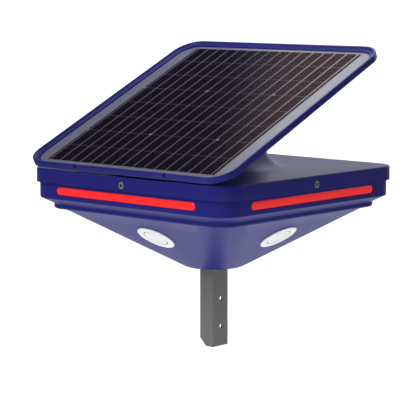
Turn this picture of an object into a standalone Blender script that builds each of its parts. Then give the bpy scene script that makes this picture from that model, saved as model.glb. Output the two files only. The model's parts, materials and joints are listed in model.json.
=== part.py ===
"""Solar fence energizer on an angle-iron post bracket.  Metres, +Z up.

Design frame (millimetres in the constants below): z = 0 is the bottom edge of
the lid skirt, x = y = 0 the housing's vertical centre line, the panel's low
edge faces -Y and the bracket's drilled leg faces +X.  ORIGIN moves everything
into the part's frame, whose origin is the middle of the drilled bracket face.
"""
import math

import bmesh
import bpy
from mathutils import Matrix, Vector

MM = 0.001
ORIGIN = (-15.0, -2.5, 235.5)          # design origin in the part's frame

# ---- driving dimensions (mm) ----
LID_SIDE, LID_R, LID_H, LID_WALL = 465.0, 43.0, 25.0, 3.0
BAND_HALF, BAND_R, BAND_TOP, BAND_LOW = 227.6, 40.0, 18.0, -27.5
BEAD_HALF, BEAD_R, BEAD_TOP, BEAD_LOW = 209.95, 38.0, -38.3, -43.0
BEAD_ROUND = 4.7
CONE_TOP_Z, CONE_TOP_HALF, CONE_TOP_R = -48.0, 204.4, 60.2
CONE_LOW_Z, CONE_LOW_HALF, CONE_LOW_R = -153.3, 49.7, 49.2
SHELL_WALL = 3.0
FLOOR_Z = -144.0
LENS_HALF, LENS_TOP, LENS_LOW = 163.0, -5.6, -20.0
SCREW_Z = 9.6
TILT = 25.0
PANEL_W, PANEL_L, PANEL_R, PANEL_H = 467.5, 467.6, 43.0, 11.0
PANEL_LOW_Y, PANEL_LOW_Z = -239.8, 36.9   # outer top edge of the low side
RIM_W, RIM_DEPTH, GLASS_HALF = 4.5, 4.9, 222.2
GLASS_V0, GLASS_V1 = 12.0, 455.6
CELL_U, CELL_V0, CELL_V1 = 194.0, 22.3, 446.9
PED_X, PED_Y0, PED_Y1, PED_R, PED_FLARE = 88.5, -165.0, 50.0, 30.0, 48.5
LEG_X, LEG_Y, LEG_T, LEG_LOW = 30.0, 40.0, 4.0, -295.5
HOLE_Y, HOLE_Z, HOLE_D = 2.5, (-210.5, -260.5), 8.0
FLANGE, FLANGE_T = 64.0, 4.0
FACE_HALF, FACE_Z = 147.87, -86.5         # middle of each sloping face
BADGE_R, DISC_R = 34.2, 21.0
TERM_X = 46.0

# ---- clean start ----
for ob in list(bpy.data.objects):
    bpy.data.objects.remove(ob, do_unlink=True)
for me in list(bpy.data.meshes):
    bpy.data.meshes.remove(me)

scene = bpy.context.scene
parts = bpy.data.collections.new("fence_energizer")
cutters = bpy.data.collections.new("cutters")
scene.collection.children.link(parts)
scene.collection.children.link(cutters)

T0 = Matrix.Translation(Vector(ORIGIN) * MM)


def material(name, rgb, rough=0.5, metal=0.0):
    m = bpy.data.materials.get(name) or bpy.data.materials.new(name)
    m.use_nodes = True
    b = m.node_tree.nodes["Principled BSDF"]
    b.inputs["Base Color"].default_value = (*rgb, 1)
    b.inputs["Roughness"].default_value = rough
    b.inputs["Metallic"].default_value = metal
    return m


BLUE = ((0.020, 0.020, 0.190), 0.45, 0.0)
RED = ((0.80, 0.012, 0.012), 0.25, 0.0)
WHITE = ((0.80, 0.80, 0.80), 0.4, 0.0)
STEEL = ((0.42, 0.42, 0.42), 0.35, 1.0)
ZINC = ((0.55, 0.55, 0.53), 0.3, 1.0)
BLACK = ((0.02, 0.02, 0.02), 0.5, 0.0)
GREY = ((0.35, 0.35, 0.37), 0.6, 0.0)
GREEN = ((0.01, 0.12, 0.04), 0.5, 0.0)
CELL = ((0.025, 0.010, 0.030), 0.2, 0.0)
GLASS = ((0.75, 0.80, 0.80), 0.05, 0.0)
COPPER = ((0.60, 0.22, 0.10), 0.35, 1.0)


def make(name, bm, at, look, cutter=False):
    """Finish a bmesh as an object placed by `at` in the design frame."""
    bmesh.ops.recalc_face_normals(bm, faces=bm.faces[:])
    me = bpy.data.meshes.new(name)
    bm.to_mesh(me)
    bm.free()
    ob = bpy.data.objects.new(name, me)
    (cutters if cutter else parts).objects.link(ob)
    ob.matrix_world = T0 @ at
    if cutter:
        ob.hide_render = True
        ob.display_type = "WIRE"
    else:
        me.materials.append(material("mat_" + name, *look))
    return ob


def at(x=0.0, y=0.0, z=0.0):
    return Matrix.Translation(Vector((x, y, z)) * MM)


def ngon(bm, outline, z):
    return bm.faces.new([bm.verts.new((x * MM, y * MM, z * MM)) for x, y in outline])


def prism(outline, z0, z1):
    bm = bmesh.new()
    f = ngon(bm, outline, z0)
    got = bmesh.ops.extrude_face_region(bm, geom=[f])
    up = [v for v in got["geom"] if isinstance(v, bmesh.types.BMVert)]
    bmesh.ops.translate(bm, verts=up, vec=(0, 0, (z1 - z0) * MM))
    return bm


def rounded(hx, hy, r, seg=6, cx=0.0, cy=0.0):
    out = []
    for sx, sy, a0 in ((1, 1, 0), (-1, 1, 90), (-1, -1, 180), (1, -1, 270)):
        for k in range(seg + 1):
            a = math.radians(a0 + 90.0 * k / seg)
            out.append((cx + sx * (hx - r) + r * math.cos(a), cy + sy * (hy - r) + r * math.sin(a)))
    return out


def circle(r, seg=32, cx=0.0, cy=0.0, a0=0.0):
    return [(cx + r * math.cos(a0 + 2 * math.pi * k / seg), cy + r * math.sin(a0 + 2 * math.pi * k / seg))
            for k in range(seg)]


def stadium(half, r, seg=6):
    out = []
    for s, a0 in ((1, -90), (-1, 90)):
        for k in range(seg + 1):
            a = math.radians(a0 + 180.0 * k / seg)
            out.append((s * (half - r) + r * math.cos(a), r * math.sin(a)))
    return out


def turned(profile, seg=20):
    """Spin a closed (r, z) profile about local Z."""
    bm = bmesh.new()
    vs = [bm.verts.new((r * MM, 0, z * MM)) for r, z in profile]
    n = len(vs)
    es = [bm.edges.new((vs[i], vs[(i + 1) % n])) for i in range(n)
          if not (profile[i][0] < 1e-6 and profile[(i + 1) % n][0] < 1e-6)]
    bmesh.ops.spin(bm, geom=vs + es, cent=(0, 0, 0), axis=(0, 0, 1), angle=2 * math.pi, steps=seg,
                   use_merge=True, use_duplicate=False)
    bmesh.ops.remove_doubles(bm, verts=bm.verts[:], dist=1e-6)
    bmesh.ops.dissolve_degenerate(bm, dist=1e-7, edges=bm.edges[:])
    return bm


def loft(rings, closed=False):
    """Join rings of equal point count; cap both ends, or close on itself."""
    bm = bmesh.new()
    vr = [[bm.verts.new((x * MM, y * MM, z * MM)) for x, y, z in ring] for ring in rings]
    n = len(vr[0])
    pairs = list(zip(vr, vr[1:])) + ([(vr[-1], vr[0])] if closed else [])
    for a, b in pairs:
        for i in range(n):
            j = (i + 1) % n
            bm.faces.new((a[i], a[j], b[j], b[i]))
    if not closed:
        bm.faces.new(list(reversed(vr[0])))
        bm.faces.new(vr[-1])
    return bm


def flat(outline, z):
    return [(x, y, z) for x, y in outline]


def box(x0, x1, y0, y1, z0, z1):
    return prism([(x0, y0), (x1, y0), (x1, y1), (x0, y1)], z0, z1)


def cut(target, cutter, op="DIFFERENCE"):
    m = target.modifiers.new(cutter.name, "BOOLEAN")
    m.operation = op
    m.object = cutter
    m.solver = "EXACT"


count = [0]


def hole(target, bm, where, op="DIFFERENCE"):
    count[0] += 1
    cut(target, make("cut_%02d_%s" % (count[0], target.name), bm, where, None, cutter=True), op)


# ---- frames on the object ----
def side(k):
    """Local Z out of vertical side k (0 front, 1 right, 2 rear, 3 left), local Y up."""
    return Matrix.Rotation(math.radians(90.0 * k), 4, "Z") @ Matrix.Rotation(math.radians(90), 4, "X")


SLOPE = (CONE_TOP_HALF - CONE_LOW_HALF) / (CONE_TOP_Z - CONE_LOW_Z)
FACE_DIP = math.atan(SLOPE)             # face normal dips this far below level


def face(k, u=0.0, v=0.0):
    """Local Z out of sloping face k, local Y up the slope, origin on its surface."""
    m = Matrix.Rotation(math.radians(90.0 * k), 4, "Z") @ at(0, -FACE_HALF, FACE_Z)
    return m @ Matrix.Rotation(math.radians(90) + FACE_DIP, 4, "X") @ at(u, v)


TILT_R = math.radians(TILT)
PANEL = at(0, PANEL_LOW_Y, PANEL_LOW_Z) @ Matrix.Rotation(TILT_R, 4, "X")   # u, v, w; w = 0 rim top


def under(y, drop=0.0):
    """Height of the panel's underside plane at y, lowered by drop along its normal."""
    y0 = PANEL_LOW_Y + (PANEL_H + drop) * math.sin(TILT_R)
    z0 = PANEL_LOW_Z - (PANEL_H + drop) * math.cos(TILT_R)
    return z0 + (y - y0) * math.tan(TILT_R)


# ---- lid with its moulded pedestal ----
def pedestal(inset, drop, z_low):
    rings = []
    for t in (0.0, 0.02, 0.06, 0.12, 0.2, 0.34, 1.0):
        ring = []
        base = rounded(PED_X, (PED_Y1 - PED_Y0) / 2, PED_R, 5)
        norm = rounded(1.0, 1.0, 1.0, 5)
        for (x, y), (nx, ny) in zip(base, norm):
            y += (PED_Y1 + PED_Y0) / 2
            h = t * (under(y, drop) - LID_H)
            d = 0.0
            if h < PED_FLARE:
                d = PED_FLARE - math.sqrt(PED_FLARE ** 2 - (PED_FLARE - h) ** 2)
            px, py = x + nx * (d - inset), y + ny * (d - inset)
            top = under(py, drop)
            ring.append((px, py, LID_H + t * (top - LID_H)))
        rings.append(ring)
    low = [(x, y, z_low) for x, y, z in rings[0]]
    return loft([low] + rings)


lid = make("lid", prism(rounded(LID_SIDE / 2, LID_SIDE / 2, LID_R, 7), 0, LID_H), at(), BLUE)
bev = lid.modifiers.new("edge", "BEVEL")
bev.width = 2.0 * MM
bev.segments = 2
bev.limit_method = "ANGLE"
bev.angle_limit = math.radians(50)
hole(lid, pedestal(0.0, 0.3, LID_H - 2.0), at(), "UNION")
inner = LID_SIDE / 2 - LID_WALL
hole(lid, prism(rounded(inner, inner, LID_R - LID_WALL, 7), -5, LID_H - LID_WALL), at())
hole(lid, pedestal(3.0, 3.3, LID_H - LID_WALL - 4.0), at())
hole(lid, box(-107, 107, -LID_SIDE / 2 - 1, -LID_SIDE / 2 + 9, LID_H - 2.5, LID_H + 3), at())
for k in range(4):
    s = side(k) @ at(0, SCREW_Z, 0)
    hole(lid, prism(circle(7.1, 18), LID_SIDE / 2 - 1.8, LID_SIDE / 2 + 1), s)
    hole(lid, box(-2.3, 2.3, -12, 0, LID_SIDE / 2 - 1.8, LID_SIDE / 2 + 1), s)
    hole(lid, prism(circle(2.9, 12), LID_SIDE / 2 - 6, LID_SIDE / 2 + 1), s)
PANEL_SCREWS = [(-62, 140), (62, 140), (-62, 260), (62, 260)]   # u, v on the panel
for u, v in PANEL_SCREWS:
    hole(lid, prism(circle(2.4, 10), -PANEL_H - 6, -PANEL_H + 1), PANEL @ at(u, v, 0))
JBOX_V = 190.0
hole(lid, prism(rounded(36, 31, 4, 3), -PANEL_H - 7, -PANEL_H + 1), PANEL @ at(0, JBOX_V, 0))

gasket = make("lid_gasket", prism(rounded(227.0, 227.0, 37.5, 5), 18.4, 21.6), at(), BLACK)
hole(gasket, prism(rounded(221.0, 221.0, 31.5, 5), 17, 23), at())

# ---- base shell: a loft from rounded square to nearly round ----
SEG = 6


def base_rings(sections):
    return [flat(rounded(h, h, r, SEG), z) for z, h, r in sections]


outer = [(BAND_TOP, BAND_HALF, BAND_R), (BAND_LOW, BAND_HALF, BAND_R), (BEAD_TOP, BEAD_HALF, BEAD_R),
         (BEAD_LOW, BEAD_HALF, BEAD_R)]
for k in (1, 2, 3):
    a = math.radians(30 * k)
    d = BEAD_ROUND * (1 - math.cos(a))
    outer.append((BEAD_LOW - BEAD_ROUND * math.sin(a), BEAD_HALF - d, BEAD_R - d))
outer.append((CONE_TOP_Z, CONE_TOP_HALF, CONE_TOP_R))
outer.append((CONE_LOW_Z + 3.0, CONE_LOW_HALF + 3.0 * SLOPE, CONE_LOW_R + 0.35))
outer.append((CONE_LOW_Z + 0.7, CONE_LOW_HALF + 0.7, CONE_LOW_R - 0.1))
outer.append((CONE_LOW_Z, CONE_LOW_HALF - 2.0, CONE_LOW_R - 2.2))
w_in = SHELL_WALL / math.cos(FACE_DIP)      # wall measured level on the cone


def cone_half(z):
    return CONE_TOP_HALF + (z - CONE_TOP_Z) * SLOPE


inner_rings = [(FLOOR_Z, cone_half(FLOOR_Z) - w_in, 44.0), (-52.0, cone_half(-52.0) - w_in, 55.0),
               (-44.0, BEAD_HALF - SHELL_WALL - 3.0, 33.0), (-37.0, BEAD_HALF - SHELL_WALL - 3.0, 33.0),
               (-26.0, BAND_HALF - SHELL_WALL, 37.0), (BAND_TOP, BAND_HALF - SHELL_WALL, 37.0)]
rings = base_rings(outer)
inner_loft = base_rings(inner_rings)
bm = bmesh.new()
vr = [[bm.verts.new((x * MM, y * MM, z * MM)) for x, y, z in ring] for ring in rings + inner_loft]
n = len(vr[0])
cap_at = len(rings) - 1
for i, (a, b) in enumerate(list(zip(vr, vr[1:])) + [(vr[-1], vr[0])]):
    if i == cap_at:
        continue
    for j in range(n):
        q = (j + 1) % n
        bm.faces.new((a[j], a[q], b[q], b[j]))
bm.faces.new(vr[cap_at])
bm.faces.new(list(reversed(vr[cap_at + 1])))
base = make("base_shell", bm, at(), BLUE)

lens_z = (LENS_TOP + LENS_LOW) / 2
lens_r = (LENS_TOP - LENS_LOW) / 2
for k in range(4):
    s = side(k) @ at(0, lens_z, 0)
    hole(base, prism(stadium(LENS_HALF, lens_r), BAND_HALF - 6, BAND_HALF + 2), s)
    hole(base, prism(circle(2.9, 12), BAND_HALF - 6, BAND_HALF + 2), side(k) @ at(0, SCREW_Z, 0))
hole(base, prism(rounded(FLANGE / 2 + 0.4, FLANGE / 2 + 0.4, 8.4, 5), CONE_LOW_Z - 2, CONE_LOW_Z + FLANGE_T + 0.3), at())
FLANGE_SCREWS = [(-25, -25), (25, -25), (25, 25), (-25, 25)]
for x, y in FLANGE_SCREWS:
    hole(base, prism(circle(2.3, 10), CONE_LOW_Z, FLOOR_Z + 4), at(x, y, 0))
hole(base, prism(circle(9.4, 20), -8, 4), face(2))
for x in (-TERM_X, TERM_X):
    hole(base, prism(circle(5.4, 16), -8, 4), face(2, x))

# ---- lights, screws and badges round the housing ----
SIDES = ("front", "right", "rear", "left")
for k, name in enumerate(SIDES):
    s = side(k) @ at(0, lens_z, 0)
    lens = make("light_lens_" + name, prism(stadium(LENS_HALF - 0.3, lens_r - 0.3), 224.0, BAND_HALF - 0.5), s, RED)
    hole(lens, prism(stadium(LENS_HALF + 3.0, lens_r + 3.0), 222.4, 224.3), s, "UNION")
    make("led_strip_" + name, box(-158, 158, -5, 5, 219.8, 221.4), s, GREEN)
    s = side(k) @ at(0, SCREW_Z, LID_SIDE / 2)
    screw = make("lid_screw_" + name, turned(((0, -17), (2.5, -17), (2.5, -1.6), (6.3, -1.6), (6.3, -0.5), (5.8, 0.1),
                                            (0, 0.1)), 14), s, ZINC)
    hole(screw, prism(circle(2.5, 6), -1.2, 1), s)
for k, name in ((0, "front"), (1, "right"), (3, "left")):
    make("badge_ring_" + name, turned(((DISC_R + 1.6, 0.3), (BADGE_R, 0.3), (BADGE_R, 1.4), (BADGE_R - 0.8, 2.1),
                                     (DISC_R + 2.4, 2.1), (DISC_R + 1.6, 1.4)), 30), face(k), WHITE)
    make("badge_disc_" + name, turned(((0, 0.3), (DISC_R, 0.3), (DISC_R, 1.4), (DISC_R - 0.8, 2.1), (0, 2.1)), 26),
         face(k), WHITE)

# ---- solar panel ----
frame = make("panel_frame", prism(rounded(PANEL_W / 2, PANEL_L / 2, PANEL_R, 7), -PANEL_H, 0),
             PANEL @ at(0, PANEL_L / 2, 0), BLUE)
bev = frame.modifiers.new("edge", "BEVEL")
bev.width = 0.8 * MM
bev.segments = 2
bev.limit_method = "ANGLE"
bev.angle_limit = math.radians(50)
mid_v = (GLASS_V0 + GLASS_V1) / 2
rim_h = PANEL_W / 2 - RIM_W
tray = [flat(rounded(rim_h, rim_h, PANEL_R - RIM_W, 6), 1.0), flat(rounded(rim_h - 0.2, rim_h - 0.2, PANEL_R - RIM_W, 6), -RIM_DEPTH + 1.5),
        flat(rounded(GLASS_HALF, GLASS_HALF, 33.0, 6), -RIM_DEPTH), flat(rounded(GLASS_HALF, GLASS_HALF, 33.0, 6), -8.0)]
hole(frame, loft(tray), PANEL @ at(0, PANEL_L / 2, 0))
for u in (-104.5, 104.5):
    hole(frame, box(u - 1.8, u + 1.8, -1, 6.5, -7.0, 1.0), PANEL)
hole(frame, prism(rounded(36, 31, 4, 3), -14, -6), PANEL @ at(0, JBOX_V, 0))
for u, v in PANEL_SCREWS:
    hole(frame, prism(circle(2.4, 10), -14, -6), PANEL @ at(u, v, 0))
g = GLASS_HALF - 0.4
make("panel_glass", prism(rounded(g, g, 32.6, 6), -6.1, -RIM_DEPTH - 0.1), PANEL @ at(0, PANEL_L / 2, 0), GLASS)
make("cell_array", box(-CELL_U, CELL_U, CELL_V0, CELL_V1, -6.6, -6.3), PANEL, CELL)
make("panel_backsheet", prism(rounded(g, g, 32.6, 6), -7.8, -6.8), PANEL @ at(0, PANEL_L / 2, 0), WHITE)
make("junction_box", prism(rounded(30, 25, 3, 3), -24, -8.2), PANEL @ at(0, JBOX_V, 0), BLACK)
for i, (u, v) in enumerate(PANEL_SCREWS):
    make("panel_screw_%d" % (i + 1), turned(((0, -17.2), (4.0, -17.2), (4.0, -14.6), (2.0, -14.6), (2.0, -8.3), (0, -8.3)), 10),
         PANEL @ at(u, v, 0), ZINC)

# ---- inside ----
make("battery_tray", prism(rounded(86, 44, 8, 3), -121.0, -118.5), at(), BLACK)
make("battery", prism(rounded(75.5, 32.5, 3, 2), -118.1, -30.5), at(), BLACK)
strap = make("battery_strap", box(-9, 9, -34.6, 34.6, -118.3, -28.6), at(48), BLACK)
hole(strap, box(-12, 12, -32.9, 32.9, -130.0, -30.2), at(48))
chassis = make("chassis_plate", prism(rounded(211, 211, 28, 5), -24.5, -22.0), at(), GREY)
hole(chassis, box(-80, 80, -40, 40, -30, -18), at())
BOARD = at(0, -120, 0)
make("main_pcb", prism(rounded(95, 55, 3, 2), -18.0, -16.4), BOARD, GREEN)
for i, (x, y) in enumerate(((-88, -48), (88, -48), (88, 48), (-88, 48))):
    make("pcb_standoff_%d" % (i + 1), turned(((0, -21.7), (3.5, -21.7), (3.5, -18.3), (0, -18.3)), 8), BOARD @ at(x, y, 0), ZINC)
core = make("transformer_core", box(-32, 32, -27, 27, -21.7, 14.0), at(0, 120), STEEL)
hole(core, box(-22, -9, -40, 40, -13.0, 5.5), at(0, 120))
hole(core, box(9, 22, -40, 40, -13.0, 5.5), at(0, 120))
wind = make("transformer_winding", prism(rounded(20.5, 40, 4, 3), -12.0, 4.5), at(0, 120), COPPER)
hole(wind, box(-9.6, 9.6, -28, 28, -14, 7), at(0, 120))
for i, x in enumerate((-110, 110)):
    make("capacitor_%d" % (i + 1), turned(((0, -21.7), (24, -21.7), (25, -20.7), (25, 13), (23.5, 14.5), (0, 14.5)), 16),
         at(x, 120), GREY)

cable = bpy.data.curves.new("panel_cable", "CURVE")
cable.dimensions = "3D"
cable.bevel_depth = 2.5 * MM
cable.bevel_resolution = 2
cable.resolution_u = 5
cable.use_fill_caps = True
sp = cable.splines.new("BEZIER")
j = PANEL @ at(0, JBOX_V, -24.4)
start = j.to_translation() / MM
pts = [(start, start + Vector((0, 8.5, -18))), (Vector((-20, -72, 20)), Vector((-22, -76, 8))),
       (Vector((-24, -80, -15.8)), Vector((-24, -80, -15.9)))]
sp.bezier_points.add(len(pts) - 1)
for i, (p, h) in enumerate(pts):
    bp = sp.bezier_points[i]
    bp.co = p * MM
    bp.handle_right = h * MM
    bp.handle_left = (2 * p - h) * MM
cab = bpy.data.objects.new("panel_cable", cable)
cable.materials.append(material("mat_panel_cable", *BLACK))
parts.objects.link(cab)
cab.matrix_world = T0

# ---- controls on the rear sloping face ----
sw = face(2)
make("switch_body", turned(((7.4, -16), (9.1, -16), (9.1, 0.3), (12.5, 0.3), (12.5, 2.2), (11.6, 3.2), (7.4, 3.2)), 20),
     sw, BLACK)
make("power_button", turned(((0, -9), (7.0, -9), (7.0, 5.4), (6.2, 6.3), (4.0, 6.9), (0, 7.1)), 18), sw, RED)
for name, x, look in (("fence", -TERM_X, RED), ("earth", TERM_X, BLACK)):
    s = face(2, x)
    make("%s_insulator" % name, turned(((3.4, -9), (5.1, -9), (5.1, 0.3), (10, 0.3), (10, 3.5), (8.6, 4.5), (3.4, 4.5)), 18),
         s, look)
    make("%s_stud" % name, turned(((0, -15), (5, -15), (5, -9.3), (3.0, -9.3), (3.0, 26.4), (2.4, 27), (0, 27)), 14), s, ZINC)
    make("%s_washer" % name, turned(((3.3, 4.8), (8.0, 4.8), (8.0, 6.2), (3.3, 6.2)), 16), s, ZINC)
    lobes = [((10.4 + 1.1 * math.cos(6 * a)) * math.cos(a), (10.4 + 1.1 * math.cos(6 * a)) * math.sin(a))
             for a in (2 * math.pi * i / 36 for i in range(36))]
    knob = make("%s_knob" % name, prism(lobes, 6.5, 18.5), s, look)
    hole(knob, prism(circle(3.3, 14), 0, 30), s)

# ---- angle-iron bracket on its flange plate ----
z_top = CONE_LOW_Z + 2.0
bracket = make("mounting_bracket", prism(rounded(FLANGE / 2, FLANGE / 2, 8, 5), CONE_LOW_Z, CONE_LOW_Z + FLANGE_T), at(), STEEL)
x1, y0 = LEG_X / 2, -LEG_Y / 2
ell = [(x1, y0), (x1, y0 + LEG_Y), (x1 - LEG_T, y0 + LEG_Y), (x1 - LEG_T, y0 + LEG_T), (x1 - LEG_X, y0 + LEG_T), (x1 - LEG_X, y0)]
hole(bracket, prism(ell, LEG_LOW, z_top), at(), "UNION")
for z in HOLE_Z:
    hole(bracket, prism(circle(HOLE_D / 2, 20), 0, 30), Matrix.Rotation(math.radians(90), 4, "Y") @ at(-z, HOLE_Y, 0))
c = 14.0
hole(bracket, prism([(-x1 - 1, LEG_LOW - 1), (-x1 + c + 1, LEG_LOW - 1), (-x1 - 1, LEG_LOW + c + 1)], -60, 10),
     at(0, -50, 0) @ Matrix.Rotation(math.radians(90), 4, "X") @ at(0, 0, 0))
for x, y in FLANGE_SCREWS:
    hole(bracket, prism(circle(2.3, 10), CONE_LOW_Z - 2, CONE_LOW_Z + FLANGE_T + 2), at(x, y, 0))
for i, (x, y) in enumerate(FLANGE_SCREWS):
    make("bracket_screw_%d" % (i + 1), turned(((0, -155.9), (3.0, -155.9), (4.0, -155.0), (4.0, -153.6), (2.0, -153.6),
                                              (2.0, -141.5), (0, -141.5)), 12), at(x, y, 0), ZINC)
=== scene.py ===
"""Looks of the solar fence energizer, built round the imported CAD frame."""
import json
import math

import bmesh
import bpy
from mathutils import Matrix, Vector

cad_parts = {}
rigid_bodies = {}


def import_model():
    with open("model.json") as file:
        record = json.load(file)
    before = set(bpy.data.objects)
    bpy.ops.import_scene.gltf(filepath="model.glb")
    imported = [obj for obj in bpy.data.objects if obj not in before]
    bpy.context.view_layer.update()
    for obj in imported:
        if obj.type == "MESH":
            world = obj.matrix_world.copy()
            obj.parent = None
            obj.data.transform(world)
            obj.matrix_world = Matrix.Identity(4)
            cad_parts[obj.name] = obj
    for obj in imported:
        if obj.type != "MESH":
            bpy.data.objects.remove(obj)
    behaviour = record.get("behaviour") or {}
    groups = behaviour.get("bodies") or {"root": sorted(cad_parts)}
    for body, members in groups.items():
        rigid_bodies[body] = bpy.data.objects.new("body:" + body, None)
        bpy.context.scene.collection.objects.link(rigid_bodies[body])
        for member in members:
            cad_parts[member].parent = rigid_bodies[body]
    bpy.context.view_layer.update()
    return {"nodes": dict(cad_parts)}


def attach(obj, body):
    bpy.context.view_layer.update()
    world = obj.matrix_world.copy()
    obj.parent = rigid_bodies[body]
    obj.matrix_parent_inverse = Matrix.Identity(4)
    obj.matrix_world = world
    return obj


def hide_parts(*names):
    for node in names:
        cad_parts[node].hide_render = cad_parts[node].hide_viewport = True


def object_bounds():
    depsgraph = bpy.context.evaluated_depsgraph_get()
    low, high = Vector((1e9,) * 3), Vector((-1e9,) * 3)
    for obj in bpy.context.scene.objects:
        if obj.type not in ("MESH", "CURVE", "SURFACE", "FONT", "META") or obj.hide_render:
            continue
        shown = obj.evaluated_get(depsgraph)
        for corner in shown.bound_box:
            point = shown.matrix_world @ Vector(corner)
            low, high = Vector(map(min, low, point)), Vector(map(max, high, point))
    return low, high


for ob in list(bpy.data.objects):
    bpy.data.objects.remove(ob, do_unlink=True)
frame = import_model()
nodes = frame["nodes"]

MM = 0.001
ORIGIN = (-15.0, -2.5, 235.5)
T0 = Matrix.Translation(Vector(ORIGIN) * MM)
LID_SIDE, LID_R, LID_H, LID_WALL = 465.0, 43.0, 25.0, 3.0
BAND_HALF, BAND_R, BAND_TOP, BAND_LOW = 227.6, 40.0, 18.0, -27.5
BEAD_HALF, BEAD_R, BEAD_TOP, BEAD_LOW, BEAD_ROUND = 209.95, 38.0, -38.3, -43.0, 4.7
CONE_TOP_Z, CONE_TOP_HALF, CONE_TOP_R = -48.0, 204.4, 60.2
CONE_LOW_Z, CONE_LOW_HALF, CONE_LOW_R = -153.3, 49.7, 49.2
FLOOR_Z = -144.0
LENS_HALF, LENS_TOP, LENS_LOW = 163.0, -5.6, -20.0
SCREW_Z = 9.6
TILT_R = math.radians(25.0)
PANEL_W, PANEL_L, PANEL_R, PANEL_H = 467.5, 467.6, 43.0, 11.0
PANEL_LOW_Y, PANEL_LOW_Z = -239.8, 36.9
RIM_W, RIM_DEPTH, GLASS_HALF = 4.5, 4.9, 222.2
PED_X, PED_Y0, PED_Y1, PED_R, PED_FLARE = 88.5, -165.0, 50.0, 30.0, 48.5
FLANGE, FLANGE_T = 64.0, 4.0
FACE_HALF, FACE_Z = 147.87, -86.5
BADGE_R, DISC_R, TERM_X = 34.2, 21.0, 46.0
SLOPE = (CONE_TOP_HALF - CONE_LOW_HALF) / (CONE_TOP_Z - CONE_LOW_Z)
FACE_DIP = math.atan(SLOPE)
SIDES = ("front", "right", "rear", "left")


# ------------------------------------------------------------------ materials
class Mat:
    """A small builder for node materials."""

    def __init__(self, name, base, rough, metal=0.0, **extra):
        self.m = bpy.data.materials.new(name)
        self.m.use_nodes = True
        self.nt = self.m.node_tree
        self.p = self.nt.nodes["Principled BSDF"]
        self.p.inputs["Base Color"].default_value = (*base, 1)
        self.p.inputs["Roughness"].default_value = rough
        self.p.inputs["Metallic"].default_value = metal
        for k, v in extra.items():
            self.p.inputs[k.replace("_", " ")].default_value = v
        self.tc = self.nt.nodes.new("ShaderNodeTexCoord")

    def node(self, kind, **props):
        n = self.nt.nodes.new("ShaderNode" + kind)
        for k, v in props.items():
            setattr(n, k, v)
        return n

    def link(self, a, b):
        self.nt.links.new(a, b)

    def mapped(self, scale=(1, 1, 1), rot=(0, 0, 0), loc=(0, 0, 0), src=None):
        n = self.node("Mapping")
        n.inputs["Scale"].default_value = scale
        n.inputs["Rotation"].default_value = rot
        n.inputs["Location"].default_value = loc
        self.link(src or self.tc.outputs["Object"], n.inputs["Vector"])
        return n.outputs["Vector"]

    def noise(self, scale, detail=3.0, rough=0.55, vec=None):
        n = self.node("TexNoise")
        n.inputs["Scale"].default_value = scale
        n.inputs["Detail"].default_value = detail
        n.inputs["Roughness"].default_value = rough
        self.link(vec or self.tc.outputs["Object"], n.inputs["Vector"])
        return n.outputs["Fac"]

    def math(self, op, a, b=None, c=None):
        n = self.node("Math", operation=op)
        for i, v in enumerate((a, b, c)):
            if v is None:
                continue
            if hasattr(v, "links"):
                self.link(v, n.inputs[i])
            else:
                n.inputs[i].default_value = v
        return n.outputs[0]

    def ramp(self, fac, lo, hi, a, b):
        n = self.node("ValToRGB")
        n.color_ramp.elements[0].position = lo
        n.color_ramp.elements[1].position = hi
        n.color_ramp.elements[0].color = (*a, 1)
        n.color_ramp.elements[1].color = (*b, 1)
        self.link(fac, n.inputs["Fac"])
        return n.outputs["Color"]

    def mix(self, fac, a, b):
        n = self.node("Mix", data_type="RGBA")
        if hasattr(fac, "links"):
            self.link(fac, n.inputs[0])
        else:
            n.inputs[0].default_value = fac
        for i, v in ((6, a), (7, b)):
            if hasattr(v, "links"):
                self.link(v, n.inputs[i])
            else:
                n.inputs[i].default_value = (*v, 1)
        return n.outputs[2]

    def color(self, out):
        self.link(out, self.p.inputs["Base Color"])

    def rough(self, fac, lo, hi):
        n = self.node("MapRange")
        n.inputs["To Min"].default_value = lo
        n.inputs["To Max"].default_value = hi
        self.link(fac, n.inputs["Value"])
        self.link(n.outputs["Result"], self.p.inputs["Roughness"])

    def bump(self, height, strength, dist):
        n = self.node("Bump")
        n.inputs["Strength"].default_value = strength
        n.inputs["Distance"].default_value = dist
        self.link(height, n.inputs["Height"])
        self.link(n.outputs["Normal"], self.p.inputs["Normal"])


def plastic(name, rgb, rough=0.42, grain=900, vary=0.18, bump=0.25, **extra):
    m = Mat(name, rgb, rough, 0.0, **extra)
    big = m.noise(9, 4)
    dark = tuple(c * (1 - vary) for c in rgb)
    light = tuple(min(1, c * (1 + vary)) for c in rgb)
    fine = m.noise(grain, 2, 0.7)
    m.color(m.mix(m.math("MULTIPLY_ADD", fine, 0.35, m.math("MULTIPLY", big, 0.6)), dark, light))
    m.rough(big, rough - 0.05, rough + 0.06)
    m.bump(fine, bump, 0.00012)
    return m.m


blue = plastic("blue_shell_look", (0.0150, 0.0145, 0.178), 0.42, 1100, 0.14, 0.22, Specular_IOR_Level=0.135)
black = plastic("black_look", (0.016, 0.016, 0.017), 0.48, 900, 0.2, 0.3)
grey = plastic("grey_look", (0.30, 0.30, 0.32), 0.5, 700, 0.1, 0.2)
redp = plastic("red_knob_look", (0.58, 0.012, 0.010), 0.34, 900, 0.1, 0.15)
white = plastic("white_badge_look", (0.82, 0.82, 0.83), 0.35, 800, 0.03, 0.08, Specular_IOR_Level=0.2)
rubber = plastic("seal_look", (0.02, 0.02, 0.02), 0.75, 500, 0.2, 0.4)
board = plastic("board_look", (0.010, 0.11, 0.035), 0.4, 300, 0.3, 0.2)


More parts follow.
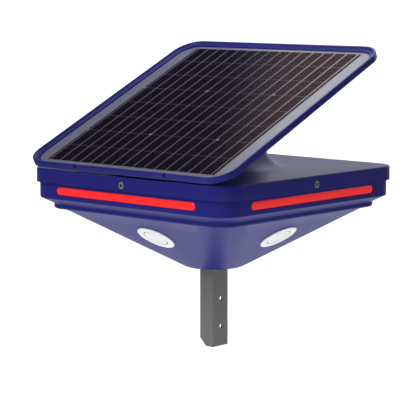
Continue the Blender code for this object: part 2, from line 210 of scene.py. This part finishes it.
def lens_material():
    m = Mat("red_lens_look", (0.88, 0.012, 0.012), 0.22, 0.0)
    # painted glow: a faint red emission makes the lens look lit through, though it is no lamp
    m.p.inputs["Emission Color"].default_value = (1.0, 0.012, 0.010, 1)
    m.p.inputs["Emission Strength"].default_value = 0.30
    m.p.inputs["Coat Weight"].default_value = 0.3
    m.p.inputs["Coat Roughness"].default_value = 0.12
    fine = m.noise(420, 3, 0.6)
    m.color(m.mix(fine, (0.74, 0.010, 0.010), (0.95, 0.016, 0.014)))
    m.bump(fine, 0.25, 0.0002)
    return m.m


red = lens_material()


def metal(name, rgb, rough, stretch=(1, 1, 1), scale=60, vary=0.2, metallic=1.0):
    m = Mat(name, rgb, rough, metallic)
    v = m.mapped(stretch)
    a = m.noise(scale, 5, 0.6, v)
    b = m.noise(scale * 14, 2, 0.6, v)
    m.color(m.mix(m.math("MULTIPLY_ADD", b, 0.4, m.math("MULTIPLY", a, 0.6)),
                  tuple(c * (1 - vary) for c in rgb), tuple(min(1, c * (1 + vary)) for c in rgb)))
    m.rough(a, rough - 0.08, rough + 0.08)
    m.bump(b, 0.2, 0.00015)
    return m.m


steel = metal("bracket_look", (0.125, 0.125, 0.128), 0.50, (1, 1, 0.25), 45, 0.16, 0.1)
zinc = metal("zinc_look", (0.22, 0.22, 0.21), 0.42, (1, 1, 1), 120, 0.15, 0.5)
core_m = metal("core_look", (0.26, 0.26, 0.27), 0.45, (1, 8, 1), 200, 0.3)
copper = metal("copper_look", (0.62, 0.24, 0.10), 0.35, (1, 1, 10), 260, 0.25)

PANEL = Matrix.Translation(Vector((0, PANEL_LOW_Y, PANEL_LOW_Z)) * MM) @ Matrix.Rotation(TILT_R, 4, "X")
panel_at = (T0 @ PANEL).to_translation()


def cell_material():
    m = Mat("solar_cell_look", (0.02, 0.01, 0.03), 0.30, 0.0)
    v0 = m.mapped(loc=tuple(-panel_at))
    v = m.mapped(rot=(-TILT_R, 0, 0), src=v0)
    sep = m.node("SeparateXYZ")
    m.link(v, sep.inputs[0])
    f = m.math("MULTIPLY_ADD", sep.outputs["X"], 1400 / 0.388, 700.0)
    g = m.math("MULTIPLY_ADD", sep.outputs["Y"], -1400 / 0.4246, 0.4469 * 1400 / 0.4246)

    def band(coord, start, pitch, half):
        t = m.math("MULTIPLY_ADD", coord, 1.0 / pitch, 0.5 - start / pitch)
        d = m.math("ABSOLUTE", m.math("SUBTRACT", m.math("FRACT", m.math("ADD", t, 8.0)), 0.5))
        return m.math("LESS_THAN", d, half / pitch), d

    bus, _ = band(f, 20.0, 90.55, 5.6)
    thread, _ = band(g, 170.0, 176.0, 3.6)
    gap, gd = band(f, 285.0, 279.0, 5.5)
    gapz, _ = band(f, 5.0, 557.5, 9.0)
    _, dx = band(f, 3.0, 557.5, 1)
    _, dy = band(g, -6.0, 527.5, 1)
    dia = m.math("LESS_THAN", m.math("ADD", m.math("MULTIPLY", dx, 557.5), m.math("MULTIPLY", dy, 527.5)), 12.0)
    fin, _ = band(g, 0.0, 7.0, 0.9)
    tex = m.noise(150, 4, 0.7)
    big = m.noise(14, 2, 0.5)
    cellid = m.node("TexWhiteNoise", noise_dimensions="2D")
    comb = m.node("CombineXYZ")
    m.link(m.math("FLOOR", m.math("MULTIPLY_ADD", f, 1 / 557.5, 3.99)), comb.inputs[0])
    m.link(m.math("FLOOR", m.math("MULTIPLY_ADD", g, 1 / 527.5, 4.01)), comb.inputs[1])
    m.link(comb.outputs[0], cellid.inputs["Vector"])
    c = m.mix(tex, (0.0015, 0.0008, 0.0045), (0.0105, 0.0045, 0.0190))
    painted_reflection = m.node("MapRange", interpolation_type="SMOOTHSTEP")   # painted reflection: cells turn warmer and lighter towards one corner, standing in for the studio reflected in the glass
    painted_reflection.inputs["From Min"].default_value = 500.0
    painted_reflection.inputs["From Max"].default_value = 1330.0
    m.link(m.math("MULTIPLY_ADD", g, -0.52, f), painted_reflection.inputs["Value"])
    c = m.mix(painted_reflection.outputs["Result"], c, m.mix(tex, (0.020, 0.007, 0.010), (0.080, 0.033, 0.043)))
    c = m.mix(m.math("MULTIPLY", cellid.outputs["Value"], 0.2), c, (0.010, 0.004, 0.010))
    c = m.mix(m.math("MULTIPLY", fin, 0.06), c, (0.06, 0.05, 0.07))
    c = m.mix(m.math("MULTIPLY", gap, 0.75), c, (0.022, 0.020, 0.026))
    c = m.mix(m.math("MULTIPLY", gapz, 0.4), c, (0.004, 0.004, 0.006))
    # painted reflection: threads and bus bars also turn lighter and warmer towards the same corner
    c = m.mix(m.math("MULTIPLY", thread, 0.7), c, m.mix(painted_reflection.outputs["Result"], (0.055, 0.055, 0.062), (0.15, 0.14, 0.15)))
    c = m.mix(m.math("MULTIPLY", bus, 0.9), c, m.mix(painted_reflection.outputs["Result"], (0.115, 0.11, 0.13), (0.42, 0.37, 0.38)))
    c = m.mix(dia, c, (0.25, 0.26, 0.25))
    m.color(c)
    n = m.node("MapRange")
    n.inputs["To Min"].default_value = 0.36
    n.inputs["To Max"].default_value = 0.50
    m.link(big, n.inputs["Value"])
    m.link(n.outputs["Result"], m.p.inputs["Roughness"])
    m.bump(tex, 0.15, 0.0001)
    m.p.inputs["Specular IOR Level"].default_value = 0.0
    m.p.inputs["Specular Tint"].default_value = (1.0, 0.55, 0.50, 1)
    return m.m


cells = cell_material()
back = plastic("backsheet_look", (0.17, 0.17, 0.25), 0.34, 600, 0.06, 0.1)

glass = Mat("glass_look", (0.03, 0.03, 0.035), 0.25, 0.0)
glass.p.inputs["Alpha"].default_value = 0.04
glass.p.inputs["IOR"].default_value = 1.45
tint = glass.noise(40, 2)
glass.color(glass.mix(tint, (0.025, 0.025, 0.030), (0.04, 0.04, 0.045)))
glass = glass.m


# ------------------------------------------------------------------ geometry helpers
def rounded(hx, hy, r, seg=20):
    out = []
    for sx, sy, a0 in ((1, 1, 0), (-1, 1, 90), (-1, -1, 180), (1, -1, 270)):
        for k in range(seg + 1):
            a = math.radians(a0 + 90.0 * k / seg)
            out.append((sx * (hx - r) + r * math.cos(a), sy * (hy - r) + r * math.sin(a)))
    return out


def circle(r, seg=40):
    return [(r * math.cos(2 * math.pi * k / seg), r * math.sin(2 * math.pi * k / seg)) for k in range(seg)]


def stadium(half, r, seg=16):
    out = []
    for s, a0 in ((1, -90), (-1, 90)):
        for k in range(seg + 1):
            a = math.radians(a0 + 180.0 * k / seg)
            out.append((s * (half - r) + r * math.cos(a), r * math.sin(a)))
    return out


def flat(outline, z):
    return [(x, y, z) for x, y in outline]


def at(x=0.0, y=0.0, z=0.0):
    return Matrix.Translation(Vector((x, y, z)) * MM)


def side(k):
    return Matrix.Rotation(math.radians(90.0 * k), 4, "Z") @ Matrix.Rotation(math.radians(90), 4, "X")


def face(k, u=0.0, v=0.0):
    m = Matrix.Rotation(math.radians(90.0 * k), 4, "Z") @ at(0, -FACE_HALF, FACE_Z)
    return m @ Matrix.Rotation(math.radians(90) + FACE_DIP, 4, "X") @ at(u, v)


def bm_loft(rings, caps=(True, True), ring_caps=()):
    """Join rings in order; caps closes the ends, ring_caps = (i,) starts a new run after ring i."""
    bm = bmesh.new()
    vr = [[bm.verts.new((x * MM, y * MM, z * MM)) for x, y, z in ring] for ring in rings]
    n = len(vr[0])
    pairs = list(zip(range(len(vr) - 1), range(1, len(vr))))
    for i, k in pairs:
        if i in ring_caps:
            bm.faces.new(vr[i])
            bm.faces.new(list(reversed(vr[k])))
            continue
        a, b = vr[i], vr[k]
        for j in range(n):
            q = (j + 1) % n
            bm.faces.new((a[j], a[q], b[q], b[j]))
    if caps == "ring":
        a, b = vr[-1], vr[0]
        for j in range(n):
            q = (j + 1) % n
            bm.faces.new((a[j], a[q], b[q], b[j]))
    else:
        if caps[0]:
            bm.faces.new(list(reversed(vr[0])))
        if caps[1]:
            bm.faces.new(vr[-1])
    return bm


def bm_turned(profile, seg=48):
    bm = bmesh.new()
    vs = [bm.verts.new((r * MM, 0, z * MM)) for r, z in profile]
    n = len(vs)
    es = [bm.edges.new((vs[i], vs[(i + 1) % n])) for i in range(n)
          if not (profile[i][0] < 1e-6 and profile[(i + 1) % n][0] < 1e-6)]
    bmesh.ops.spin(bm, geom=vs + es, cent=(0, 0, 0), axis=(0, 0, 1), angle=2 * math.pi, steps=seg,
                   use_merge=True, use_duplicate=False)
    bmesh.ops.remove_doubles(bm, verts=bm.verts[:], dist=1e-6)
    bmesh.ops.dissolve_degenerate(bm, dist=1e-7, edges=bm.edges[:])
    return bm


def prism(outline, z0, z1):
    return bm_loft([flat(outline, z0), flat(outline, z1)])


def box(x0, x1, y0, y1, z0, z1):
    return prism([(x0, y0), (x1, y0), (x1, y1), (x0, y1)], z0, z1)


def to_object(name, bm, where, mat=None):
    """World-place the mesh with its object at the origin, so object coordinates are the part's."""
    bmesh.ops.recalc_face_normals(bm, faces=bm.faces[:])
    bmesh.ops.transform(bm, matrix=T0 @ where, verts=bm.verts[:])
    me = bpy.data.meshes.new(name)
    bm.to_mesh(me)
    bm.free()
    ob = bpy.data.objects.new(name, me)
    bpy.context.scene.collection.objects.link(ob)
    if mat:
        me.materials.append(mat)
    return ob


def boolean(ob, bm, where, op="DIFFERENCE"):
    c = to_object("cutter", bm, where)
    m = ob.modifiers.new("b", "BOOLEAN")
    m.operation = op
    m.object = c
    m.solver = "EXACT"
    bpy.context.view_layer.update()
    dg = bpy.context.evaluated_depsgraph_get()
    me = bpy.data.meshes.new_from_object(ob.evaluated_get(dg))
    ob.modifiers.clear()
    old = ob.data
    ob.data = me
    me.name = ob.name
    bpy.data.meshes.remove(old)
    bpy.data.objects.remove(c, do_unlink=True)


def smooth(ob, angle=32.0):
    me = ob.data
    me.polygons.foreach_set("use_smooth", [True] * len(me.polygons))
    me.set_sharp_from_angle(angle=math.radians(angle))
    me.update()


def soften(ob, width, seg=2, angle=40.0):
    b = ob.modifiers.new("soft_edge", "BEVEL")
    b.width = width * MM
    b.segments = seg
    b.limit_method = "ANGLE"
    b.angle_limit = math.radians(angle)
    b.harden_normals = True
    b.use_clamp_overlap = True


def piece(ob, node, body="housing", angle=32.0):
    ob.data.materials.clear() if ob.data.materials and ob.data.materials[0] is None else None
    smooth(ob, angle)
    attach(ob, body)
    if node:
        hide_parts(node)
    return ob


def under(y, drop=0.0):
    y0 = PANEL_LOW_Y + (PANEL_H + drop) * math.sin(TILT_R)
    z0 = PANEL_LOW_Z - (PANEL_H + drop) * math.cos(TILT_R)
    return z0 + (y - y0) * math.tan(TILT_R)


# ------------------------------------------------------------------ lid and pedestal
def pedestal(inset, drop, z_low, steps):
    rings = []
    base = rounded(PED_X, (PED_Y1 - PED_Y0) / 2, PED_R, 14)
    norm = rounded(1.0, 1.0, 1.0, 14)
    for t in steps:
        ring = []
        for (x, y), (nx, ny) in zip(base, norm):
            y += (PED_Y1 + PED_Y0) / 2
            h = t * (under(y, drop) - LID_H)
            d = 0.0
            if h < PED_FLARE:
                d = PED_FLARE - math.sqrt(PED_FLARE ** 2 - (PED_FLARE - h) ** 2)
            px, py = x + nx * (d - inset), y + ny * (d - inset)
            ring.append((px, py, LID_H + t * (under(py, drop) - LID_H)))
        rings.append(ring)
    return bm_loft([[(x, y, z_low) for x, y, z in rings[0]]] + rings)


def fillet(half, r, z, rad, seg=5, top=True):
    """Rings rounding an outer edge of a wall, from the wall to the flat."""
    out = []
    for k in range(seg + 1):
        a = math.radians(90.0 * k / seg)
        d = rad * (1 - math.cos(a))
        h = rad * math.sin(a)
        out.append((z - rad + h if top else z + rad - h, half - d, r - d))
    return out


half = LID_SIDE / 2
prof = [(z, h, r) for z, h, r in reversed(fillet(half, LID_R, 0.0, 0.4, 2, False))]
prof += fillet(half, LID_R, LID_H, 2.4, 6)
rings = [flat(rounded(h, h, r), z) for z, h, r in prof]
lid = to_object("lid_fine", bm_loft(rings), at(), blue)
boolean(lid, pedestal(0.0, 0.3, LID_H - 2.0, (0.0, 0.004, 0.01, 0.02, 0.035, 0.055, 0.08, 0.11, 0.145, 0.185, 0.23, 0.28, 0.34, 0.42, 0.55, 0.75, 1.0)),
        at(), "UNION")
inner = half - LID_WALL
boolean(lid, prism(rounded(inner, inner, LID_R - LID_WALL), -5, LID_H - LID_WALL), at())
boolean(lid, box(-107, 107, -half - 1, -half + 9, LID_H - 1.5, LID_H + 3), at())
for k in range(4):
    s = side(k) @ at(0, SCREW_Z, 0)
    boolean(lid, prism(circle(7.1), half - 1.8, half + 1), s)
    boolean(lid, box(-2.3, 2.3, -12, 0.5, half - 1.81, half + 1.01), s)
piece(lid, "lid")

# ------------------------------------------------------------------ base shell
SEG = 20
prof = [(BAND_TOP, BAND_HALF, BAND_R), (-4.0, BAND_HALF, BAND_R), (BAND_LOW + 1.6, BAND_HALF, BAND_R)]
n_low = 4
ch = math.atan2(BAND_LOW - BEAD_TOP, BAND_HALF - BEAD_HALF)
cdx, cdz = BAND_HALF - BEAD_HALF, BAND_LOW - BEAD_TOP
ln = math.hypot(cdx, cdz)
for k in range(1, n_low + 1):           # soften the band's lower edge into the chamfer
    t = k / n_low
    p0 = Vector((BAND_HALF, BAND_LOW + 1.6))
    p1 = Vector((BAND_HALF, BAND_LOW))
    p2 = Vector((BAND_HALF - 1.6 * cdx / ln, BAND_LOW - 1.6 * cdz / ln))
    p = p0 * (1 - t) ** 2 + p1 * 2 * t * (1 - t) + p2 * t * t
    prof.append((p.y, p.x, BAND_R - (BAND_HALF - p.x) * (BAND_R - BEAD_R) / cdx))
for k in range(0, 5):                   # hollow where the chamfer meets the bead
    t = k / 4
    p0 = Vector((BEAD_HALF + 2.2 * cdx / ln, BEAD_TOP + 2.2 * cdz / ln))
    p1 = Vector((BEAD_HALF, BEAD_TOP))
    p2 = Vector((BEAD_HALF, BEAD_TOP - 1.8))
    p = p0 * (1 - t) ** 2 + p1 * 2 * t * (1 - t) + p2 * t * t
    prof.append((p.y, p.x, BEAD_R + (p.x - BEAD_HALF) * (BAND_R - BEAD_R) / cdx))
for k in range(0, 8):
    a = math.radians(90.0 * k / 7.5)
    d = BEAD_ROUND * (1 - math.cos(a))
    prof.append((BEAD_LOW - BEAD_ROUND * math.sin(a), BEAD_HALF - d, BEAD_R - d))
prof.append((CONE_TOP_Z, CONE_TOP_HALF, CONE_TOP_R))
for k in range(1, 7):
    t = k / 6
    z = CONE_TOP_Z + (CONE_LOW_Z + 3.0 - CONE_TOP_Z) * t
    prof.append((z, CONE_TOP_HALF + (z - CONE_TOP_Z) * SLOPE, CONE_TOP_R + (CONE_LOW_R + 0.35 - CONE_TOP_R) * t))
for k in range(1, 6):                   # rounded foot of the funnel
    t = k / 5
    p0 = Vector((CONE_LOW_HALF + 3.0 * SLOPE, CONE_LOW_Z + 3.0))
    p1 = Vector((CONE_LOW_HALF + 0.2, CONE_LOW_Z + 0.05))
    p2 = Vector((CONE_LOW_HALF - 3.6, CONE_LOW_Z))
    p = p0 * (1 - t) ** 2 + p1 * 2 * t * (1 - t) + p2 * t * t
    prof.append((p.y, p.x, min(CONE_LOW_R + 0.35, p.x - 0.4)))
rings = [flat(rounded(h, h, r, SEG), z) for z, h, r in prof]
w_in = 3.0 / math.cos(FACE_DIP)
ch_in = [(FLOOR_Z, CONE_TOP_HALF + (FLOOR_Z - CONE_TOP_Z) * SLOPE - w_in, 44.0),
         (-52.0, CONE_TOP_HALF + (-52.0 - CONE_TOP_Z) * SLOPE - w_in, 55.0), (-44.0, BEAD_HALF - 6, 33.0),
         (-37.0, BEAD_HALF - 6, 33.0), (-26.0, BAND_HALF - 3, 37.0), (BAND_TOP, BAND_HALF - 3, 37.0)]
cap = len(rings) - 1
rings += [flat(rounded(h, h, r, SEG), z) for z, h, r in ch_in]
base = to_object("base_shell_fine", bm_loft(rings, "ring", (cap,)), at(), blue)
lens_z, lens_r = (LENS_TOP + LENS_LOW) / 2, (LENS_TOP - LENS_LOW) / 2
for k in range(4):
    s = side(k) @ at(0, lens_z, 0)
    boolean(base, prism(stadium(LENS_HALF, lens_r), BAND_HALF - 6, BAND_HALF + 2), s)
boolean(base, prism(rounded(FLANGE / 2 + 0.4, FLANGE / 2 + 0.4, 8.4, 6), CONE_LOW_Z - 2, CONE_LOW_Z + FLANGE_T + 0.3), at())
boolean(base, prism(circle(9.4), -8, 4), face(2))
for x in (-TERM_X, TERM_X):
    boolean(base, prism(circle(5.4), -8, 4), face(2, x))
piece(base, "base_shell", angle=24.0)

# ------------------------------------------------------------------ light bars
for k, name in enumerate(SIDES):
    s = side(k) @ at(0, lens_z, 0)
    h, r = LENS_HALF - 0.25, lens_r - 0.25
    rs = [flat(stadium(LENS_HALF + 3, lens_r + 3), 222.4), flat(stadium(LENS_HALF + 3, lens_r + 3), 224.3),
          flat(stadium(h, r), 224.3), flat(stadium(h, r), BAND_HALF - 2.0)]
    for q in range(1, 7):
        a = math.radians(90.0 * q / 6)
        d = 3.4 * (1 - math.cos(a))
        rs.append(flat(stadium(h - d, r - d), BAND_HALF - 2.0 + 1.5 * math.sin(a)))
    ob = to_object("light_bar_" + name, bm_loft(rs), s, red)
    piece(ob, "light_lens_" + name, angle=40)

# ------------------------------------------------------------------ badges: plain rings and dimpled discs
for k, name in ((0, "front"), (1, "right"), (3, "left")):
    a, b = DISC_R + 1.5, BADGE_R
    p = [(a, 0.3), (b, 0.3), (b, 1.2)]
    p += [(b - 1.3 * (1 - math.cos(t)), 1.2 + 1.2 * math.sin(t)) for t in (math.radians(x) for x in (20, 45, 70, 90))]
    p += [(a + 1.1 * (1 - math.cos(t)), 1.3 + 1.1 * math.sin(t)) for t in (math.radians(x) for x in (90, 60, 30, 0))]
    ob = to_object("badge_ring_fine_" + name, bm_turned(p, 72), face(k), white)
    piece(ob, "badge_ring_" + name)
    p = [(0, 0.3), (DISC_R, 0.3), (DISC_R, 1.3)]
    p += [(DISC_R - 1.0 * (1 - math.cos(t)), 1.3 + 0.8 * math.sin(t)) for t in (math.radians(x) for x in (30, 60, 90))]
    p += [(15.4, 2.0), (14.9, 1.55), (14.1, 1.55), (13.6, 1.9), (6.6, 1.75), (6.1, 1.4), (5.4, 1.4), (4.9, 2.0), (2.5, 2.35), (0, 2.45)]
    ob = to_object("badge_disc_fine_" + name, bm_turned(p, 64), face(k), white)
    for q in range(8):
        t = math.radians(45 * q + 22.5)
        dimple = bm_turned([(0, -0.55), (0.7, -0.45), (1.25, 0.0), (1.4, 0.5), (0, 0.5)], 16)
        boolean(ob, dimple, face(k, 10.1 * math.cos(t), 10.1 * math.sin(t)) @ at(0, 0, 1.85))
    piece(ob, "badge_disc_" + name)

# ------------------------------------------------------------------ screws on the skirt
for k, name in enumerate(SIDES):
    s = side(k) @ at(0, SCREW_Z, half)
    p = [(0, -17), (2.5, -17), (2.5, -1.6), (6.3, -1.6), (6.3, -0.6), (6.15, -0.2), (5.8, 0.0), (5.2, 0.1), (3.9, 0.1), (3.6, -0.1), (0, -0.1)]
    ob = to_object("lid_screw_fine_" + name, bm_turned(p, 40), s, zinc)
    boolean(ob, prism(circle(2.75, 6), -1.35, 1), s)
    ob.data.materials.append(black)
    for f in ob.data.polygons:            # painted shade: the socket's floor and walls take the black material, standing in for the shade inside the recess
        c = (T0 @ s).inverted() @ f.center
        if math.hypot(c.x, c.y) < 2.76 * MM and c.z > -1.4 * MM:
            f.material_index = 1
    piece(ob, "lid_screw_" + name)

# ------------------------------------------------------------------ panel frame
hw = PANEL_W / 2
rh = hw - RIM_W
prof = list(reversed(fillet(hw, PANEL_R, -PANEL_H, 0.9, 3, False))) + fillet(hw, PANEL_R, 0.0, 1.1, 4)
prof += [(z, h, r) for z, h, r in ((0.0, rh + 0.7, PANEL_R - RIM_W), (-0.2, rh + 0.2, PANEL_R - RIM_W), (-0.7, rh, PANEL_R - RIM_W),
                                   (-2.6, rh - 2.0, 37.5), (-4.3, GLASS_HALF + 1.6, 35.0),
                                   (-RIM_DEPTH + 0.15, GLASS_HALF + 0.4, 33.5), (-RIM_DEPTH - 0.1, GLASS_HALF, 33.0), (-8.0, GLASS_HALF, 33.0))]
rings = [flat(rounded(h, h, r), z) for z, h, r in prof]
mid = PANEL @ at(0, PANEL_L / 2, 0)
pf = to_object("panel_frame_fine", bm_loft(rings), mid, blue)
for u in (-104.5, 104.5):
    boolean(pf, box(u - 1.8, u + 1.8, -1, 6.5, -7.0, 1.0), PANEL)
boolean(pf, prism(rounded(36, 31, 4, 6), -14, -6), PANEL @ at(0, 190.0, 0))
piece(pf, "panel_frame")

# ------------------------------------------------------------------ materials on the CAD pieces that stay
LOOKS = {"panel_glass": glass, "cell_array": cells, "panel_backsheet": back, "mounting_bracket": steel, "lid_gasket": rubber,
         "junction_box": black, "panel_cable": black, "battery": black, "battery_tray": black, "battery_strap": rubber,
         "chassis_plate": grey, "main_pcb": board, "transformer_core": core_m, "transformer_winding": copper,
         "capacitor_1": grey, "capacitor_2": grey, "switch_body": black, "power_button": redp, "fence_insulator": redp,
         "fence_knob": redp, "earth_insulator": black, "earth_knob": black}
for name, ob in nodes.items():
    mat = LOOKS.get(name)
    if mat is None and ("screw" in name or "stud" in name or "washer" in name or "standoff" in name):
        mat = zinc
    if mat is None and "led_strip" in name:
        mat = board
    if mat is None:
        continue
    ob.data.materials.clear()
    ob.data.materials.append(mat)
    w = ob.modifiers.new("join", "WELD")
    w.merge_threshold = 1e-6
    if name in ("cell_array", "panel_glass", "panel_backsheet", "panel_cable", "main_pcb", "chassis_plate"):
        continue
    soften(ob, 0.35 if name != "mounting_bracket" else 0.7, 2)

# ------------------------------------------------------------------ floor, light, camera
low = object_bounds()[0][2]
me = bpy.data.meshes.new("floor")
fb = bmesh.new()
v = [fb.verts.new(p) for p in ((-150, -150, low), (150, -150, low), (150, 150, low), (-150, 150, low))]
fb.faces.new(v)
fb.to_mesh(me)
fb.free()
floor = bpy.data.objects.new("floor", me)
bpy.context.scene.collection.objects.link(floor)
fm = Mat("floor_look", (0.42, 0.42, 0.42), 0.9)
fm.p.inputs["Emission Color"].default_value = (1, 1, 1, 1)
fp = fm.node("SeparateXYZ")                    # a bright lane of floor, with a softer pale floor beside it
fm.link(fm.tc.outputs["Object"], fp.inputs[0])
fx, fy = fp.outputs["X"], fp.outputs["Y"]
ahead = fm.math("MULTIPLY_ADD", fx, -0.670, fm.math("MULTIPLY_ADD", fy, 0.742, 3.12))
across = fm.math("ABSOLUTE", fm.math("MULTIPLY_ADD", fx, 0.742, fm.math("MULTIPLY", fy, 0.670)))
width = fm.math("MULTIPLY_ADD", fm.math("MAXIMUM", ahead, 0.0), 0.122, 0.04)
lane = fm.node("MapRange", interpolation_type="SMOOTHSTEP")
fm.link(fm.math("SUBTRACT", across, width), lane.inputs["Value"])
lane.inputs["From Min"].default_value = 0.0
lane.inputs["From Max"].default_value = 0.30
lane.inputs["To Min"].default_value = 0.95
lane.inputs["To Max"].default_value = 0.02
fm.link(lane.outputs["Result"], fm.p.inputs["Emission Strength"])
fm.p.inputs["Specular IOR Level"].default_value = 0.0
me.materials.append(fm.m)

scene = bpy.context.scene
world = bpy.data.worlds.new("studio")
scene.world = world
world.use_nodes = True
wn, wl = world.node_tree.nodes, world.node_tree.links
bg = wn["Background"]
bg.inputs["Color"].default_value = (1, 1, 1, 1)
tc = wn.new("ShaderNodeTexCoord")


def toward(direction, lo, hi, gain):
    """A soft bright patch of studio wall in one direction."""
    d = wn.new("ShaderNodeVectorMath")
    d.operation = "DOT_PRODUCT"
    wl.new(tc.outputs["Generated"], d.inputs[0])
    d.inputs[1].default_value = Vector(direction).normalized()
    m = wn.new("ShaderNodeMapRange")
    m.interpolation_type = "SMOOTHSTEP"
    m.inputs["From Min"].default_value = lo
    m.inputs["From Max"].default_value = hi
    m.inputs["To Max"].default_value = gain
    wl.new(d.outputs["Value"], m.inputs["Value"])
    return m.outputs["Result"]


add = wn.new("ShaderNodeMath")
add.operation = "ADD"
wl.new(toward((-0.66, 0.74, 0.05), 0.86, 0.97, 0.80), add.inputs[0])
add.inputs[1].default_value = 0.13
wl.new(add.outputs[0], bg.inputs["Strength"])
scene.view_settings.view_transform = "Standard"


def sun(name, direction, strength, angle):
    l = bpy.data.lights.new(name, "SUN")
    l.energy = strength
    l.angle = math.radians(angle)
    ob = bpy.data.objects.new(name, l)
    scene.collection.objects.link(ob)
    ob.rotation_euler = Vector(direction).to_track_quat("Z", "Y").to_euler()


def area(name, where, target, size, power, color=(1, 1, 1)):
    l = bpy.data.lights.new(name, "AREA")
    l.shape = "RECTANGLE"
    l.size, l.size_y = size
    l.energy = power
    l.color = color
    ob = bpy.data.objects.new(name, l)
    scene.collection.objects.link(ob)
    ob.location = where
    ob.rotation_euler = (Vector(where) - Vector(target)).to_track_quat("Z", "Y").to_euler()


sun("key", (-0.30, -0.85, 0.70), 2.15, 40)
sun("rear", (0.0, 1.0, 0.45), 1.4, 60)
bpy.data.lights["rear"].specular_factor = 0.0
mirror = Vector((-0.664, 0.375, 0.646)).normalized()   # where the panel's face looks, seen from the front
spot = (T0 @ PANEL @ at(430, 240)).to_translation() + mirror * 0.9
area("window", spot, spot - mirror, (0.50, 0.85), 3.2)
ax = Vector((1, 0, 0)) - mirror * mirror.x
ax.normalize()
ay = mirror.cross(ax)
bpy.data.objects["window"].rotation_euler = Matrix((ax, ay, mirror)).transposed().to_euler()

cam = bpy.data.cameras.new("camera")
cam.lens = 154.78
cam.sensor_width = 36.0
cam.clip_end = 600.0
camo = bpy.data.objects.new("camera", cam)
scene.collection.objects.link(camo)
camo.location = Vector((2.09116, -2.33221, 0.35540)) + Vector(ORIGIN) * MM
camo.rotation_euler = Vector((0.66453, -0.73615, 0.12845)).to_track_quat("Z", "Y").to_euler()
scene.camera = camo
